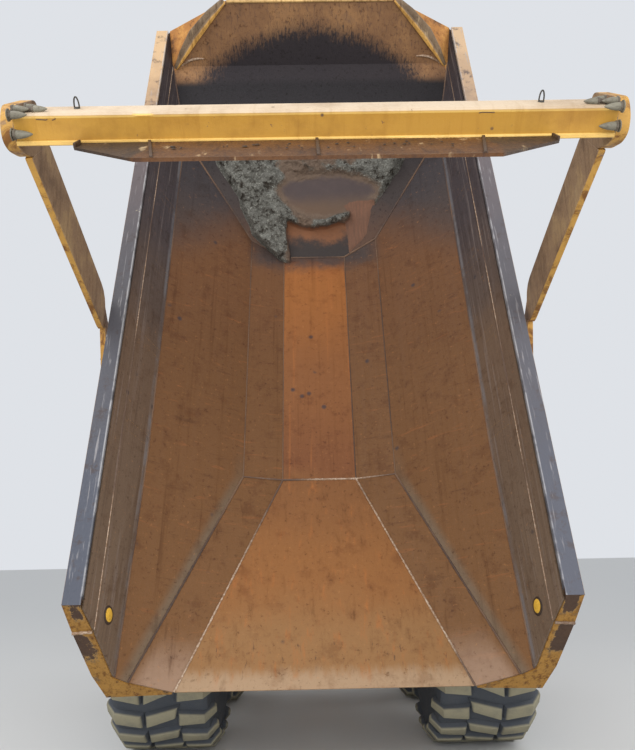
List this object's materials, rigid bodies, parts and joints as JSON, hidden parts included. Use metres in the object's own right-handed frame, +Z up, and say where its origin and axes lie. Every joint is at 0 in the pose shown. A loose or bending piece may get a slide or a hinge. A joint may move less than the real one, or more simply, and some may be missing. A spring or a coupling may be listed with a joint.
{
  "type": "articulated dump truck",
  "caption": "Articulated dump truck with raised dump body, tailgate on side arms, oscillating hitch, tipping cylinders and six large lugged tyres.",
  "frame": {"origin": "on the ground, in the middle of the whole machine's length and width, with the body raised and the tailgate open as stored", "axes": "+Z up, the cab's front faces -Y, +X is the truck's left side"},
  "size_m": [3.63, 12.873, 7.1842],
  "materials": {
    "yellow_paint": "satin, dusty",
    "worn_bed": "scratched bare plate with rust",
    "grey_paint": "satin",
    "dark_paint": "satin",
    "rod_steel": "polished",
    "exhaust_steel": "dull",
    "glazing": "clear",
    "seat_cloth": "matte",
    "dash_plastic": "matte",
    "lamp_clear": "gloss",
    "lamp_red": "gloss",
    "tyre_rubber": "dusty",
    "wheel_paint": "satin"
  },
  "bodies": {
    "tractor": {"front_frame": "dark_paint", "front_bumper": "yellow_paint", "front_axle": "dark_paint", "engine_block": "dark_paint", "front_mudguards": "yellow_paint", "cab_shell": "yellow_paint", "cab_roof": "yellow_paint", "cab_glass": "glazing", "cab_seat": "seat_cloth", "cab_dash": "dash_plastic", "access_steps": "dark_paint", "handrails": "dark_paint", "exhaust_stack": "exhaust_steel", "side_tanks": "yellow_paint", "head_lamps": "lamp_clear", "mirrors": "dark_paint"},
    "hood": {"hood_shell": "yellow_paint", "hood_grille": "dark_paint"},
    "cab_door": {"door_shell": "yellow_paint", "door_glass": "glazing"},
    "hitch": {"hitch_yoke": "yellow_paint"},
    "rear_unit": {"rear_frame": "yellow_paint", "frame_brackets": "yellow_paint", "rear_axles": "dark_paint", "walking_beams": "yellow_paint", "tail_lamps": "lamp_red"},
    "dump_body": {"bed_floor": "worn_bed", "bed_ramp": "worn_bed", "bed_sides": "worn_bed", "bed_front": "worn_bed", "bed_rails": "grey_paint", "bed_end_frame": "yellow_paint", "bed_beams": "yellow_paint"},
    "tailgate": {"gate_arms": "yellow_paint", "gate_beam": "yellow_paint", "gate_panel": "yellow_paint"},
    "steer_barrel_l": {"steer_barrel_l": "grey_paint"},
    "steer_rod_l": {"steer_rod_l": "rod_steel"},
    "hoist_barrel_l": {"hoist_barrel_l": "grey_paint"},
    "hoist_rod_l": {"hoist_rod_l": "rod_steel"},
    "steer_barrel_r": {"steer_barrel_r": "grey_paint"},
    "steer_rod_r": {"steer_rod_r": "rod_steel"},
    "hoist_barrel_r": {"hoist_barrel_r": "grey_paint"},
    "hoist_rod_r": {"hoist_rod_r": "rod_steel"},
    "wheel_fl": {"tyre_fl": "tyre_rubber", "rim_fl": "wheel_paint"},
    "wheel_fr": {"tyre_fr": "tyre_rubber", "rim_fr": "wheel_paint"},
    "wheel_ml": {"tyre_ml": "tyre_rubber", "rim_ml": "wheel_paint"},
    "wheel_mr": {"tyre_mr": "tyre_rubber", "rim_mr": "wheel_paint"},
    "wheel_rl": {"tyre_rl": "tyre_rubber", "rim_rl": "wheel_paint"},
    "wheel_rr": {"tyre_rr": "tyre_rubber", "rim_rr": "wheel_paint"}
  },
  "joints": [
    {"name": "articulation", "type": "hinge", "parent": "tractor", "child": "hitch", "pos_m": [0, -1.88647, 1.12], "axis": [0, 0, 1], "range_deg": [-45, 45]},
    {"name": "oscillation", "type": "hinge", "parent": "hitch", "child": "rear_unit", "pos_m": [0, -1.48647, 1.12], "axis": [0, 1, 0], "range_deg": [-15, 15]},
    {"name": "tip", "type": "hinge", "parent": "rear_unit", "child": "dump_body", "pos_m": [0, 3.37353, 1.35], "axis": [1, 0, 0], "range_deg": [0, 70]},
    {"name": "tailgate_swing", "type": "hinge", "parent": "dump_body", "child": "tailgate", "pos_m": [0, 3.83736, 3.14144], "axis": [-1, 0, 0], "range_deg": [0, 85]},
    {"name": "hoist_tilt_l", "type": "hinge", "parent": "rear_unit", "child": "hoist_barrel_l", "pos_m": [0.715, 0.72353, 1.04], "axis": [-1, 0, 0], "range_deg": [0, 9.89]},
    {"name": "hoist_slide_l", "type": "slide", "parent": "hoist_barrel_l", "child": "hoist_rod_l", "axis": [0, -0.8672, -0.498], "range_m": [0, 1.2508]},
    {"name": "steer_tilt_l", "type": "hinge", "parent": "tractor", "child": "steer_barrel_l", "pos_m": [0.48, -2.88647, 1.12], "axis": [0, 0, 1], "range_deg": [-1.8, 1.8]},
    {"name": "steer_slide_l", "type": "slide", "parent": "steer_barrel_l", "child": "steer_rod_l", "axis": [-0.1546, 0.988, 0], "range_m": [-0.226, 0.226]},
    {"name": "hoist_tilt_r", "type": "hinge", "parent": "rear_unit", "child": "hoist_barrel_r", "pos_m": [-0.715, 0.72353, 1.04], "axis": [-1, 0, 0], "range_deg": [0, 9.89]},
    {"name": "hoist_slide_r", "type": "slide", "parent": "hoist_barrel_r", "child": "hoist_rod_r", "axis": [0, -0.8672, -0.498], "range_m": [0, 1.2508]},
    {"name": "steer_tilt_r", "type": "hinge", "parent": "tractor", "child": "steer_barrel_r", "pos_m": [-0.48, -2.88647, 1.12], "axis": [0, 0, 1], "range_deg": [-1.8, 1.8]},
    {"name": "steer_slide_r", "type": "slide", "parent": "steer_barrel_r", "child": "steer_rod_r", "axis": [0.1546, 0.988, 0], "range_m": [-0.226, 0.226]},
    {"name": "spin_fl", "type": "hinge", "parent": "tractor", "child": "wheel_fl", "pos_m": [1.25, -3.38647, 0.935], "axis": [1, 0, 0], "continuous": true},
    {"name": "spin_fr", "type": "hinge", "parent": "tractor", "child": "wheel_fr", "pos_m": [-1.25, -3.38647, 0.935], "axis": [1, 0, 0], "continuous": true},
    {"name": "spin_ml", "type": "hinge", "parent": "rear_unit", "child": "wheel_ml", "pos_m": [1.25, 1.13353, 0.935], "axis": [1, 0, 0], "continuous": true},
    {"name": "spin_mr", "type": "hinge", "parent": "rear_unit", "child": "wheel_mr", "pos_m": [-1.25, 1.13353, 0.935], "axis": [1, 0, 0], "continuous": true},
    {"name": "spin_rl", "type": "hinge", "parent": "rear_unit", "child": "wheel_rl", "pos_m": [1.25, 3.07353, 0.935], "axis": [1, 0, 0], "continuous": true},
    {"name": "spin_rr", "type": "hinge", "parent": "rear_unit", "child": "wheel_rr", "pos_m": [-1.25, 3.07353, 0.935], "axis": [1, 0, 0], "continuous": true},
    {"name": "door_swing", "type": "hinge", "parent": "tractor", "child": "cab_door", "pos_m": [0.85, -4.53147, 2.7], "axis": [0, 0, -1], "range_deg": [0, 75]},
    {"name": "hood_lift", "type": "hinge", "parent": "tractor", "child": "hood", "pos_m": [0, -6.32647, 1.37], "axis": [1, 0, 0], "range_deg": [0, 60]}
  ],
  "couplings": [
    {"joint": "tailgate_swing", "follows": "tip", "ratio": 1.2143},
    {"joint": "hoist_tilt_l", "follows": "tip", "ratio": 0.14117},
    {"joint": "hoist_slide_l", "follows": "tip", "m_per_rad": 1.0234},
    {"joint": "steer_tilt_l", "follows": "articulation", "ratio": -0.0383},
    {"joint": "steer_slide_l", "follows": "articulation", "m_per_rad": 0.2853},
    {"joint": "hoist_tilt_r", "follows": "tip", "ratio": 0.14117},
    {"joint": "hoist_slide_r", "follows": "tip", "m_per_rad": 1.0234},
    {"joint": "steer_tilt_r", "follows": "articulation", "ratio": -0.0383},
    {"joint": "steer_slide_r", "follows": "articulation", "m_per_rad": -0.2853}
  ]
}
